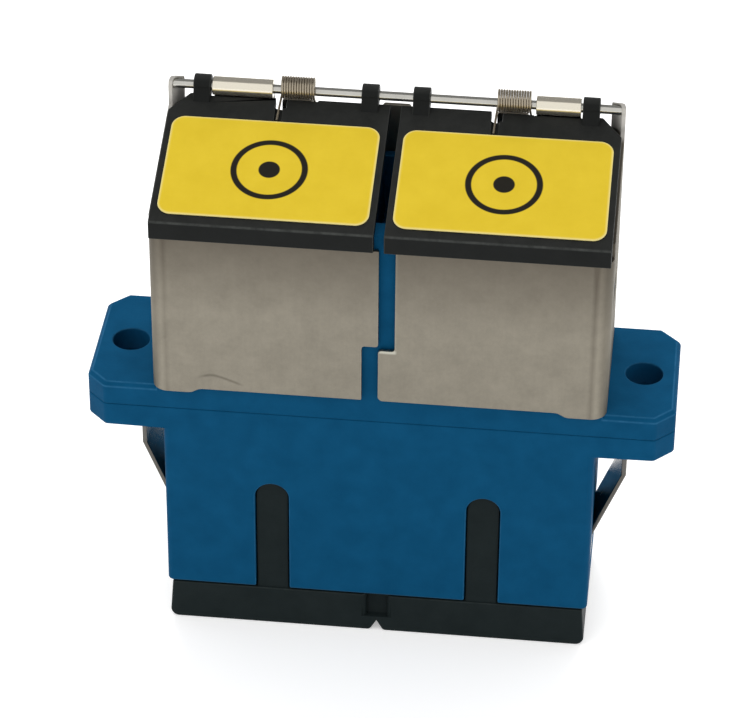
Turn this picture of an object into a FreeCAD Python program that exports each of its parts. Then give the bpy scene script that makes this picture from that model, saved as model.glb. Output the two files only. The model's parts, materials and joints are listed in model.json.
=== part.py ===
import FreeCAD, Part
import math
import os
import re
import Sketcher
from FreeCAD import Placement, Rotation, Vector

# Flanged two-port fibre adapter with sprung hinged shutters over the upper ports and a dust cap below.
# X runs along the flange, Y from the keyed front face to the hinge side, Z up towards the shutters.
# Every piece is drawn from the plane where the two housing halves are welded, and then lifted by one
# flange half, so the origin lies between the screw holes on the face that meets the panel.

doc = FreeCAD.newDocument("fibre_adapter")

SIZES = {
    # Ports and housing halves
    "port_pitch": 12.7,
    "port_width": 9.1,
    "port_breadth": 7.5,
    "side_wall": 1.9,
    "face_wall": 0.9,
    "half_length": 13.05,
    "body_round": 0.35,
    "flange_reach": 4.6,
    "flange_back": 0.2,
    "flange_half": 1.5,
    "flange_chamfer": 1.15,
    "flange_round": 0.4,
    "flange_bevel": 0.25,
    "screw_hole": 2.2,
    "screw_inset": 2.05,
    "keyway_width": 2.05,
    "keyway_crown": 5.16,
    # Latch inserts and split sleeves inside the ports
    "seat_step": 0.65,
    "seat_lip": 0.3,
    "seat_half": 1.2,
    "insert_gap": 0.05,
    "hook_gap": 0.45,
    "hook_sheet": 0.65,
    "hook_breadth": 2.4,
    "hook_length": 8.4,
    "barb_reach": 0.4,
    "barb_height": 1.3,
    "holder_wall": 0.55,
    "holder_lip": 0.5,
    "ferrule_hole": 2.9,
    "sleeve_outer": 3.2,
    "sleeve_wall": 0.35,
    "sleeve_length": 11.4,
    "sleeve_slit": 0.4,
    "sleeve_gap": 0.05,
    # Stamped frame wrapped round the upper half
    "frame_sheet": 0.25,
    "frame_bend": 0.95,
    "frame_side_gap": 0.3,
    "frame_face_gap": 0.12,
    "seam_gap": 0.96,
    "seam_jog": 4.0,
    "seam_throat": 0.25,
    "seam_round": 0.18,
    "seam_foot_round": 0.3,
    "foot_width": 2.2,
    "foot_run": 0.8,
    "foot_drop": 0.3,
    "catch_height": 5.2,
    "catch_length": 1.8,
    "catch_breadth": 3.0,
    "catch_reach": 0.5,
    "catch_gap": 0.1,
    "catch_edge": 0.45,
    "catch_ramp": 3.24,
    "ear_radius": 0.45,
    "ear_width": 0.85,
    # Hinge: pin, rolled knuckles and coil springs
    "pin_diameter": 0.55,
    "pin_bevel": 0.08,
    "roll_gap": 0.03,
    "left_roll": 3.55,
    "right_roll": 2.6,
    "roll_slit": 0.15,
    "roll_slit_stop": 0.09,
    "coil_gap": 0.4,
    "coil_outer": 1.4,
    "coil_rest": 0.05,
    "coil_wire": 0.2,
    "coil_space": 0.015,
    "coil_turns": 9,
    "frame_leg": 1.8,
    "frame_leg_angle": 52,
    # Shutter lids and their labels
    "lid_slope": 17,
    "lid_rise": 0.45,
    "lid_overhang": 0.28,
    "lid_sheet": 0.6,
    "lid_split": 0.6,
    "lid_side_inset": 0.15,
    "lid_seat_gap": 0.05,
    "lip_height": 1.17,
    "lip_sheet": 0.6,
    "hinge_rise": 0.344,
    "rear_gap": 0.35,
    "rear_chamfer": 1.15,
    "rear_chamfer_run": 1.4,
    "knuckle_width": 1.0,
    "knuckle_radius": 0.65,
    "knuckle_inset": 1.5,
    "inner_knuckle_inset": 0.7,
    "knuckle_gap": 0.1,
    "pin_clearance": 0.04,
    "arm_length": 0.7,
    "arm_under": 20,
    "arm_over": 40,
    "notch_width": 0.65,
    "notch_length": 0.75,
    "groove_width": 0.3,
    "groove_end": 0.08,
    "leg_gap": 0.03,
    "recess_gap": 0.1,
    "roll_room": 0.06,
    "label_sheet": 0.1,
    "label_side": 0.38,
    "label_front": 0.65,
    "label_length": 7.4,
    "label_round": 0.8,
    # Sprung clip that holds the adapter in a panel
    "clip_sheet": 0.3,
    "clip_sink": 0.35,
    "clip_start": 9.95,
    "clip_band": 2.4,
    "clip_breadth": 5.0,
    "clip_gap": 0.05,
    "wing_breadth": 3.4,
    "wing_shift": 0.3,
    "wing_reach": 1.85,
    "wing_knee": 5.1,
    "wing_top": 3.0,
    # Two-port dust cap
    "plug_gap": 0.1,
    "plug_wall": 0.8,
    "key_gap": 0.06,
    "key_sink": 0.2,
    "cap_inset": 0.08,
    "cap_taper": 0.2,
    "cap_head": 2.82,
    "cap_relief": 0.12,
    "cap_neck": 0.45,
    "cap_split": 1.23,
    "cap_split_depth": 0.6,
    "cap_split_round": 0.35,
    "cap_web": 1.05,
    "cap_nick": 0.7,
    "cap_nick_width": 0.8,
    "cap_nick_round": 0.3,
    "cap_round": 0.5,
    # How far a cut runs out past the faces that it opens
    "spare": 1.0,
}

sheet = doc.addObject("Spreadsheet::Sheet", "Sizes")
for row, (alias, size) in enumerate(SIZES.items(), start=1):
    sheet.set(f"A{row}", alias)
    sheet.set(f"B{row}", str(size))
    sheet.setAlias(f"B{row}", alias)
doc.recompute()

# Sizes that follow from the sheet, written as formulas in its names and in one another.
FOLLOWS = {
    "body_width": "port_pitch + port_width + 2 * side_wall",
    "body_breadth": "port_breadth + 2 * face_wall",
    "flange_width": "body_width + 2 * flange_reach",
    "screw_place": "flange_width / 2 - screw_inset",
    "seat_width": "port_width + 2 * seat_step",
    "seat_breadth": "port_breadth + 2 * seat_lip",
    "holder_bore": "sleeve_outer / 2 + sleeve_gap",
    "holder_radius": "holder_bore + holder_wall",
    "holder_floor": "sleeve_length / 2 + sleeve_gap",
    "hook_inside": "holder_radius + hook_gap",
    "frame_x": "body_width / 2 + frame_side_gap + frame_sheet",
    "frame_y": "body_breadth / 2 + frame_face_gap + frame_sheet",
    "roll_bore": "pin_diameter / 2 + roll_gap",
    "roll_radius": "roll_bore + frame_sheet",
    "lid_front": "frame_y + lid_overhang",
    "lid_top": "half_length + lid_rise",
    "pin_y": "frame_y - roll_radius",
    "pin_z": "lid_top + (pin_y + lid_front) * tan(lid_slope) + hinge_rise / cos(lid_slope)",
    "ear_top": "pin_z + ear_radius",
    "back_top": "pin_z + coil_lift - (coil_outer / 2 + leg_gap + roll_radius * sin(frame_leg_angle))"
                " / cos(frame_leg_angle)",
    "lip_foot": "lid_top - lip_height",
    "lid_reach": "(pin_y + hinge_rise * sin(lid_slope) + lid_front) / cos(lid_slope)",
    "lid_inner": "lid_split / 2",
    "lid_outer": "frame_x - lid_side_inset",
    "knuckle_outer": "frame_x - knuckle_inset",
    "roll_start": "knuckle_outer - knuckle_width - knuckle_gap",
    "coil_mean": "(coil_outer - coil_wire) / 2",
    "coil_lift": "coil_outer / 2 - coil_wire - pin_diameter / 2 - coil_rest",
    "coil_pitch": "coil_wire + coil_space",
    "coil_length": "coil_turns * coil_pitch",
    "coil_swing": "coil_outer / 2 + recess_gap",
    "coil_height": "hinge_rise + coil_lift * cos(lid_slope)",
    "coil_room": "sqrt(coil_swing * coil_swing - coil_height * coil_height) - coil_lift * sin(lid_slope)",
    "left_coil": "coil_gap + left_roll - roll_start",
    "right_coil": "roll_start - right_roll - coil_gap - coil_length",
    "leg_depth": "coil_outer / 2 + leg_gap - coil_height",
    "lid_leg": "lid_reach - label_front - label_length - 2 * groove_end",
    "leg_drift": "lid_leg * coil_pitch / (2 * pi * coil_mean)",
    "clip_x": "body_width / 2 - clip_sink",
    "clip_y": "body_breadth / 2 - clip_sink",
    "plug_width": "port_width - 2 * plug_gap",
    "plug_breadth": "port_breadth - 2 * plug_gap",
    "plug_start": "keyway_crown + key_gap",
    "cap_x": "body_width / 2 - cap_inset",
    "cap_y": "body_breadth / 2 - cap_inset",
    "cap_end": "half_length + cap_head",
}


def formula(text):
    """The formula text, with each name replaced by its sheet cell or by the formula that it stands for."""
    def expand(match):
        name = match.group()
        if name in FOLLOWS:
            return "(" + formula(FOLLOWS[name]) + ")"
        return f"Sizes.{name}" if name in SIZES else name
    return re.sub(r"[a-z][a-z_]*", expand, text)


def number(text):
    """What the formula comes to."""
    return float(sheet.evalExpression(formula(text)))


def piece(label):
    """An empty body, whose label names its file."""
    body = doc.addObject("PartDesign::Body", label)
    body.Label = label
    return body


def draw(body, name, role, lift="0"):
    """A sketch on one of the body's own planes, raised by lift along the plane's normal."""
    sketch = body.newObject("Sketcher::SketchObject", f"{body.Label}_{name}")
    support = next(plane for plane in body.Origin.OriginFeatures if plane.Role == role)
    sketch.AttachmentSupport = [(support, "")]
    sketch.MapMode = "FlatFace"
    sketch.setExpression("AttachmentOffset.Base.z", formula(lift))
    return sketch


def hold(sketch, constraint, text):
    """Add the constraint and tie it to a formula."""
    index = sketch.addConstraint(constraint)
    sketch.setExpression(f"Constraints[{index}]", formula(text))


def hold_point(sketch, line, end, across, up):
    """Tie one end of a line, or the centre of a circle, to its two distances from the sketch's origin."""
    hold(sketch, Sketcher.Constraint("DistanceX", -1, 1, line, end, number(across)), across)
    hold(sketch, Sketcher.Constraint("DistanceY", -1, 1, line, end, number(up)), up)


def outline(sketch, *corners):
    """A closed outline with straight sides, each corner given as two formulas."""
    places = [Vector(number(across), number(up), 0) for across, up in corners]
    first = sketch.GeometryCount
    for start, end in zip(places, places[1:] + places[:1]):
        sketch.addGeometry(Part.LineSegment(start, end))
    for index, (across, up) in enumerate(corners):
        before = first + (index - 1) % len(corners)
        sketch.addConstraint(Sketcher.Constraint("Coincident", before, 2, first + index, 1))
        hold_point(sketch, first + index, 1, across, up)


def rectangle(sketch, left, right, low, high):
    """A rectangle between four formulas."""
    outline(sketch, (left, low), (right, low), (right, high), (left, high))


def block(sketch, centre, width, breadth):
    """A rectangle centred on the sketch's vertical axis or beside it."""
    rectangle(sketch, f"{centre} - ({width}) / 2", f"{centre} + ({width}) / 2",
              f"-({breadth}) / 2", f"({breadth}) / 2")


def rounded(sketch, half_width, half_breadth, radius):
    """A rectangle about the sketch's origin, with each corner rounded."""
    run, rise = f"({half_width} - {radius})", f"({half_breadth} - {radius})"
    arcs = []
    for quarter, (x_sign, y_sign) in enumerate(((1, 1), (-1, 1), (-1, -1), (1, -1))):
        centre = Vector(x_sign * number(run), y_sign * number(rise), 0)
        curve = Part.Circle(centre, Vector(0, 0, 1), number(radius))
        start = quarter * math.pi / 2
        arcs.append(sketch.addGeometry(Part.ArcOfCircle(curve, start, start + math.pi / 2)))
        hold(sketch, Sketcher.Constraint("Radius", arcs[-1], number(radius)), radius)
    sides = (((run, half_breadth), (f"-{run}", half_breadth)),
             ((f"-{half_width}", rise), (f"-{half_width}", f"-{rise}")),
             ((f"-{run}", f"-{half_breadth}"), (run, f"-{half_breadth}")),
             ((half_width, f"-{rise}"), (half_width, rise)))
    for quarter, ends in enumerate(sides):
        places = [Vector(number(across), number(up), 0) for across, up in ends]
        line = sketch.addGeometry(Part.LineSegment(*places))
        hold_point(sketch, line, 1, *ends[0])
        hold_point(sketch, line, 2, *ends[1])
        sketch.addConstraint(Sketcher.Constraint("Coincident", arcs[quarter], 2, line, 1))
        sketch.addConstraint(Sketcher.Constraint("Coincident", arcs[quarter - 3], 1, line, 2))


def circle(sketch, across, up, radius):
    """A circle about a point given as two formulas."""
    centre = Vector(number(across), number(up), 0)
    index = sketch.addGeometry(Part.Circle(centre, Vector(0, 0, 1), number(radius)))
    hold_point(sketch, index, 3, across, up)
    hold(sketch, Sketcher.Constraint("Radius", index, number(radius)), radius)


def arch(sketch, centre, width, foot, crown):
    """A slot with a round end at crown, below it or above it, and a square end at foot."""
    radius = number(width) / 2
    middle = number(centre)
    turn = math.copysign(1, number(crown) - number(foot))
    spring = number(crown) - turn * radius
    left, right = Vector(middle - radius, spring, 0), Vector(middle + radius, spring, 0)
    left_foot = Vector(middle - radius, number(foot), 0)
    right_foot = Vector(middle + radius, number(foot), 0)
    round_end = Part.Arc(left, Vector(middle, number(crown), 0), right)
    first = sketch.addGeometry(Part.LineSegment(left_foot, left))
    curve = sketch.addGeometry(round_end)
    second = sketch.addGeometry(Part.LineSegment(right, right_foot))
    base = sketch.addGeometry(Part.LineSegment(right_foot, left_foot))
    left_end, right_end = (2, 1) if turn > 0 else (1, 2)
    sketch.addConstraint(Sketcher.Constraint("Coincident", first, 2, curve, left_end))
    sketch.addConstraint(Sketcher.Constraint("Coincident", curve, right_end, second, 1))
    sketch.addConstraint(Sketcher.Constraint("Coincident", second, 2, base, 1))
    sketch.addConstraint(Sketcher.Constraint("Coincident", base, 2, first, 1))
    spring_text = f"({crown}) - {turn:.0f} * ({width}) / 2"
    hold_point(sketch, first, 1, f"({centre}) - ({width}) / 2", foot)
    hold_point(sketch, first, 2, f"({centre}) - ({width}) / 2", spring_text)
    hold_point(sketch, second, 1, f"({centre}) + ({width}) / 2", spring_text)
    hold_point(sketch, second, 2, f"({centre}) + ({width}) / 2", foot)
    hold(sketch, Sketcher.Constraint("DistanceY", -1, 1, curve, 3, spring), spring_text)


def extrude(body, kind, sketch, length, reverse=False, midplane=False):
    """Pad or pocket a sketch by a length: a pad goes along the sketch's normal, and a pocket against it."""
    feature = body.newObject(f"PartDesign::{kind}", f"{sketch.Name}_{kind.lower()}")
    feature.Profile = sketch
    feature.setExpression("Length", formula(length))
    feature.Reversed = reverse
    feature.Midplane = midplane
    return feature


def pad(body, sketch, length, reverse=False, midplane=False):
    """Raise a sketch into solid material."""
    return extrude(body, "Pad", sketch, length, reverse, midplane)


def pocket(body, sketch, length, reverse=False, midplane=False):
    """Cut a sketch out of the body, and make sure that the cut takes something away."""
    doc.recompute()
    before = body.Shape.Volume
    feature = extrude(body, "Pocket", sketch, length, reverse, midplane)
    doc.recompute()
    if body.Shape.Volume >= before:
        raise RuntimeError(f"{feature.Name} cuts nothing")
    return feature


def dress(body, kind, base, size, chosen):
    """Fillet or chamfer those edges of the base that the test chosen picks by their middle and span."""
    doc.recompute()
    names = []
    for index, edge in enumerate(base.Shape.Edges, start=1):
        box = edge.BoundBox
        if chosen(edge.CenterOfMass, Vector(box.XLength, box.YLength, box.ZLength)):
            names.append(f"Edge{index}")
    if not names:
        raise RuntimeError(f"no edge of {base.Name} to dress")
    feature = body.newObject(f"PartDesign::{kind}", f"{base.Name}_{kind.lower()}")
    feature.Base = (base, names)
    feature.setExpression("Radius" if kind == "Fillet" else "Size", formula(size))
    doc.recompute()
    return feature


# A span below this counts as none, and an upright edge of a wall is longer than this.
NO_SPAN = 0.01
WALL_SPAN = 1


def near(first, second):
    """Whether two distances are the same."""
    return abs(first - second) < NO_SPAN


def stand(body, upper=True, across="0"):
    """Put a piece that is drawn with its port's mouth up on the weld plane, or turn it over below."""
    body.Placement = Placement(Vector(), Rotation(Vector(0, 1, 0), 0 if upper else 180))
    body.setExpression("Placement.Base.x", formula(across))
    body.setExpression("Placement.Base.z", formula("flange_half"))


def housing(label, bevelled):
    """One moulded half: a flange half and a two-port body with seats, keyways and screw holes."""
    body = piece(label)
    plan = draw(body, "flange", "XY_Plane")
    right, front, back = "flange_width / 2", "-body_breadth / 2", "(body_breadth / 2 + flange_back)"
    corners = []
    for x_sign, face, x_first in ((1, front, True), (1, back, False), (-1, back, True), (-1, front, False)):
        on_face = (f"{x_sign} * ({right} - flange_chamfer)", face)
        on_end = (f"{x_sign} * {right}", f"{face} {'+' if face == front else '-'} flange_chamfer")
        corners += [on_face, on_end] if x_first else [on_end, on_face]
    outline(plan, *corners)
    flange = pad(body, plan, "flange_half")
    flange_face = number("flange_half")
    flange = dress(body, "Fillet", flange, "flange_round", lambda middle, span: span.z > NO_SPAN)
    if bevelled:
        dress(body, "Chamfer", flange, "flange_bevel", lambda middle, span: near(middle.z, flange_face))
    root = draw(body, "root", "XY_Plane")
    block(root, "0", "body_width + 2 * body_round", "body_breadth")
    pad(body, root, "flange_half")
    block_plan = draw(body, "body", "XY_Plane")
    block(block_plan, "0", "body_width", "body_breadth")
    walls = pad(body, block_plan, "half_length")
    side, face, top = number("body_width / 2"), number("body_breadth / 2"), number("half_length")
    corner_round = dress(body, "Fillet", walls, "body_round", lambda middle, span: near(
        abs(middle.x), side) and near(abs(middle.y), face) and span.z > WALL_SPAN)
    dress(body, "Fillet", corner_round, "body_round / 2", lambda middle, span: near(
        middle.z, top) and span.z < NO_SPAN)
    ports = draw(body, "ports", "XY_Plane", "half_length")
    seats = draw(body, "seats", "XY_Plane")
    keyways = draw(body, "keyways", "XZ_Plane", "body_breadth / 2")
    screws = draw(body, "screws", "XY_Plane", "flange_half")
    for hand in (-1, 1):
        block(ports, f"{hand} * port_pitch / 2", "port_width", "port_breadth")
        block(seats, f"{hand} * port_pitch / 2", "seat_width", "seat_breadth")
        arch(keyways, f"{hand} * port_pitch / 2", "keyway_width", "half_length + spare", "keyway_crown")
        circle(screws, f"{hand} * screw_place", "0", "screw_hole / 2")
    pocket(body, ports, "half_length")
    pocket(body, seats, "seat_half", reverse=True)
    pocket(body, keyways, "face_wall")
    pocket(body, screws, "flange_half")
    return body


# Upper half of the housing, with a wedge on each end that the stamped frame snaps over.
upper_housing = housing("upper_housing", bevelled=True)
wedges = draw(upper_housing, "wedges", "XZ_Plane")
for hand in (-1, 1):
    wedge_foot = "flange_half + catch_height"
    outline(wedges,
            (f"{hand} * (body_width / 2 - face_wall / 2)", wedge_foot),
            (f"{hand} * (body_width / 2 + catch_reach)", wedge_foot),
            (f"{hand} * (body_width / 2 + catch_reach)", f"{wedge_foot} + catch_edge"),
            (f"{hand} * (body_width / 2 - face_wall / 2)", f"{wedge_foot} + catch_ramp"))
pad(upper_housing, wedges, "catch_breadth", midplane=True)
stand(upper_housing)

# Lower half of the housing, with a shallow groove round its back and ends for the panel clip.
lower_housing = housing("lower_housing", bevelled=False)
groove = draw(lower_housing, "clip_groove", "XY_Plane", "clip_start - clip_gap")
outline(groove,
        ("-body_width / 2 - spare", "-clip_breadth / 2 - clip_gap"),
        ("-clip_x", "-clip_breadth / 2 - clip_gap"),
        ("-clip_x", "clip_y"),
        ("clip_x", "clip_y"),
        ("clip_x", "-clip_breadth / 2 - clip_gap"),
        ("body_width / 2 + spare", "-clip_breadth / 2 - clip_gap"),
        ("body_width / 2 + spare", "body_breadth / 2 + spare"),
        ("-body_width / 2 - spare", "body_breadth / 2 + spare"))
pocket(lower_housing, groove, "clip_band + 2 * clip_gap", reverse=True)
relief = draw(lower_housing, "wing_relief", "XZ_Plane", "-wing_shift")
wing_lean = "(wing_reach + body_width / 2 - clip_x - clip_sheet) / (clip_start - wing_knee)"
for hand in (-1, 1):
    outline(relief,
            (f"{hand} * clip_x", "clip_start"),
            (f"{hand} * (body_width / 2 + spare)", "clip_start"),
            (f"{hand} * (body_width / 2 + spare)", f"clip_start - (clip_sink + spare) / ({wing_lean})"),
            (f"{hand} * clip_x", "clip_start - clip_gap"))
pocket(lower_housing, relief, "wing_breadth + 2 * clip_gap", midplane=True)
stand(lower_housing, upper=False)


def latch_insert(label, across, upper):
    """One moulded insert: a seat plate, two barbed latch arms and half of the split sleeve's tube."""
    body = piece(label)
    plate = draw(body, "plate", "XY_Plane")
    block(plate, "0", "seat_width - 2 * insert_gap", "seat_breadth - 2 * insert_gap")
    pad(body, plate, "seat_half")
    tube = draw(body, "tube", "XY_Plane")
    circle(tube, "0", "0", "holder_radius")
    pad(body, tube, "holder_floor + holder_lip")
    arms = draw(body, "arms", "XZ_Plane")
    for hand in (-1, 1):
        outer, inner = f"{hand} * (hook_inside + hook_sheet)", f"{hand} * hook_inside"
        barb = f"{hand} * (hook_inside - barb_reach)"
        outline(arms,
                (inner, "seat_half / 2"),
                (outer, "seat_half / 2"),
                (outer, "hook_length"),
                (f"{hand} * (hook_inside + hook_sheet / 2)", "hook_length"),
                (barb, "hook_length - barb_height / 2"),
                (barb, "hook_length - barb_height"),
                (inner, "hook_length - barb_height"))
    pad(body, arms, "hook_breadth", midplane=True)
    bore = draw(body, "bore", "XY_Plane")
    circle(bore, "0", "0", "holder_bore")
    pocket(body, bore, "holder_floor", reverse=True)
    eye = draw(body, "eye", "XY_Plane")
    circle(eye, "0", "0", "ferrule_hole / 2")
    pocket(body, eye, "holder_floor + holder_lip", reverse=True)
    stand(body, upper, across)
    return body


def split_sleeve(label, across):
    """A slit ceramic tube that lines up the two ferrules."""
    body = piece(label)
    ring = draw(body, "ring", "XY_Plane")
    circle(ring, "0", "0", "sleeve_outer / 2")
    circle(ring, "0", "0", "sleeve_outer / 2 - sleeve_wall")
    pad(body, ring, "sleeve_length", midplane=True)
    slit = draw(body, "slit", "XY_Plane")
    rectangle(slit, "-sleeve_slit / 2", "sleeve_slit / 2", "0", "sleeve_outer")
    pocket(body, slit, "sleeve_length + 2 * spare", midplane=True)
    stand(body, across=across)
    return body


inside_pieces = []
for side, hand in (("left", -1), ("right", 1)):
    port = f"{hand} * port_pitch / 2"
    inside_pieces.append(latch_insert(f"{side}_upper_latch_insert", port, upper=True))
    inside_pieces.append(latch_insert(f"{side}_lower_latch_insert", port, upper=False))
    inside_pieces.append(split_sleeve(f"{side}_alignment_sleeve", port))


# Stamped stainless frame: one sheet bent round the upper half, with its seam at the front, snap windows in
# the ends, ears that carry the pin, and tabs on the back plate that are rolled round the pin.
shutter_frame = piece("shutter_frame")
wrap = draw(shutter_frame, "wrap", "XY_Plane", "flange_half")
rounded(wrap, "frame_x", "frame_y", "frame_bend")
rounded(wrap, "(frame_x - frame_sheet)", "(frame_y - frame_sheet)", "(frame_bend - frame_sheet)")
pad(shutter_frame, wrap, "ear_top - flange_half")

# The end plates slope with the lids, and the front panels stop under the lids' lips. Behind the lids' corners
# the two rear bends stand up as ears for the pin, and the back plate between them stops below the springs.
slope_rise = "lid_top - lid_sheet / cos(lid_slope) - lid_seat_gap + lid_front * tan(lid_slope)"
bend_front, ear_front, beyond = "-(frame_y - frame_bend)", "pin_y - ear_radius", "frame_y + spare"
slope_cut = draw(shutter_frame, "slope", "YZ_Plane")
outline(slope_cut,
        (f"-({beyond})", "lip_foot - lid_seat_gap"),
        (bend_front, "lip_foot - lid_seat_gap"),
        (bend_front, f"{slope_rise} + {bend_front} * tan(lid_slope)"),
        (ear_front, f"{slope_rise} + ({ear_front}) * tan(lid_slope)"),
        (ear_front, "pin_z"),
        ("pin_y - ear_radius * cos(45)", "pin_z + ear_radius * sin(45)"),
        ("pin_y", "ear_top"),
        ("pin_y + ear_radius * cos(45)", "pin_z + ear_radius * sin(45)"),
        ("pin_y + ear_radius", "pin_z"),
        (beyond, "pin_z"),
        (beyond, "ear_top + spare"),
        (f"-({beyond})", "ear_top + spare"))
pocket(shutter_frame, slope_cut, "2 * (frame_x + spare)", midplane=True)
back_cut = draw(shutter_frame, "back", "XZ_Plane", "-frame_y")
rectangle(back_cut, "-frame_x + ear_width", "frame_x - ear_width", "back_top", "ear_top + spare")
pocket(shutter_frame, back_cut, "frame_bend", reverse=True)

# The seam steps sideways part of the way up, and the bottom edge is raised between the corner feet.
seam = draw(shutter_frame, "seam", "XZ_Plane", "frame_y + spare")
jog_low, jog_high = "flange_half + seam_jog - seam_throat / 2", "flange_half + seam_jog + seam_throat / 2"
outline(seam,
        ("-seam_gap", "flange_half - spare"),
        ("0", "flange_half - spare"),
        ("0", jog_low),
        ("seam_gap", jog_low),
        ("seam_gap", "pin_z"),
        ("0", "pin_z"),
        ("0", jog_high),
        ("-seam_gap", jog_high))
pocket(shutter_frame, seam, "frame_sheet + frame_face_gap / 2 + spare")
arches = draw(shutter_frame, "foot_gap", "XZ_Plane")
outline(arches,
        ("-frame_x + foot_width", "flange_half - spare"),
        ("frame_x - foot_width", "flange_half - spare"),
        ("frame_x - foot_width", "flange_half"),
        ("frame_x - foot_width - foot_run / 4", "flange_half + foot_drop / 8"),
        ("frame_x - foot_width - foot_run * 3 / 4", "flange_half + foot_drop * 7 / 8"),
        ("frame_x - foot_width - foot_run", "flange_half + foot_drop"),
        ("-frame_x + foot_width + foot_run", "flange_half + foot_drop"),
        ("-frame_x + foot_width + foot_run * 3 / 4", "flange_half + foot_drop * 7 / 8"),
        ("-frame_x + foot_width + foot_run / 4", "flange_half + foot_drop / 8"),
        ("-frame_x + foot_width", "flange_half"))
arch_cut = pocket(shutter_frame, arches, "2 * (frame_y + spare)", midplane=True)
seam_edge, sheet_span = number("seam_gap"), number("frame_sheet")
jog_place, panel_foot = number("flange_half + seam_jog"), number("flange_half + foot_drop")
seam_middle, jog_span = number("frame_y - frame_sheet / 2"), number("seam_throat")
seam_round = dress(shutter_frame, "Fillet", arch_cut, "seam_round", lambda middle, span: near(
    middle.y, -seam_middle) and near(span.y, sheet_span) and abs(middle.x) < seam_edge + NO_SPAN
    and abs(middle.z - jog_place) < jog_span)
dress(shutter_frame, "Fillet", seam_round, "seam_foot_round", lambda middle, span: near(
    middle.y, -seam_middle) and near(span.y, sheet_span) and near(middle.x, 0) and near(middle.z, panel_foot))
windows = draw(shutter_frame, "windows", "YZ_Plane")
rectangle(windows, "-catch_breadth / 2 - catch_gap", "catch_breadth / 2 + catch_gap",
          "flange_half + catch_height - catch_gap",
          "flange_half + catch_height + catch_length + catch_gap")
pocket(shutter_frame, windows, "2 * (frame_x + spare)", midplane=True)

# Two tabs rise from the back plate and are rolled forwards round the pin, one longer than the other.
ROLLS = {"left_roll": "-roll_start", "right_roll": "roll_start - right_roll"}
for name, start in ROLLS.items():
    tab = draw(shutter_frame, f"{name}_tab", "YZ_Plane", start)
    rectangle(tab, "frame_y - frame_sheet", "frame_y", "back_top - spare / 2", "pin_z")
    pad(shutter_frame, tab, name)
    curl = draw(shutter_frame, f"{name}_curl", "YZ_Plane", start)
    circle(curl, "pin_y", "pin_z", "roll_radius")
    pad(shutter_frame, curl, name)
pin_way = draw(shutter_frame, "pin_way", "YZ_Plane")
circle(pin_way, "pin_y", "pin_z", "roll_bore")
pocket(shutter_frame, pin_way, "2 * (frame_x + spare)", midplane=True)
slit = draw(shutter_frame, "roll_slit", "YZ_Plane")
outline(slit,
        ("frame_y - frame_sheet - roll_slit", "pin_z - roll_radius - roll_gap"),
        ("frame_y - frame_sheet", "pin_z - roll_radius - roll_gap"),
        ("frame_y - frame_sheet", "pin_z - roll_slit_stop"),
        ("frame_y - frame_sheet - roll_slit", "pin_z - roll_slit_stop"))
pocket(shutter_frame, slit, "2 * (roll_start + roll_gap)", midplane=True)
stand(shutter_frame)

# Hinge pin: one straight steel wire from ear to ear.
hinge_pin = piece("hinge_pin")
pin_round = draw(hinge_pin, "round", "YZ_Plane")
circle(pin_round, "pin_y", "pin_z", "pin_diameter / 2")
pin_pad = pad(hinge_pin, pin_round, "2 * frame_x", midplane=True)
dress(hinge_pin, "Chamfer", pin_pad, "pin_bevel", lambda middle, span: span.x < NO_SPAN)
stand(hinge_pin)


def lean(body):
    """Hang a piece that is drawn flat, with the pin as its X axis, on the pin at the lids' slope."""
    body.Placement = Placement(Vector(), Rotation(Vector(1, 0, 0), number("lid_slope")))
    body.setExpression("Placement.Base.y", formula("pin_y"))
    body.setExpression("Placement.Base.z", formula("flange_half + pin_z"))
    body.setExpression("Placement.Rotation.Angle", formula("lid_slope"))


def between(hand, inner, outer):
    """The lower end, on the X axis, of a stretch given by its inner and outer distance from the middle."""
    return inner if hand > 0 else f"-({outer})"


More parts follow.
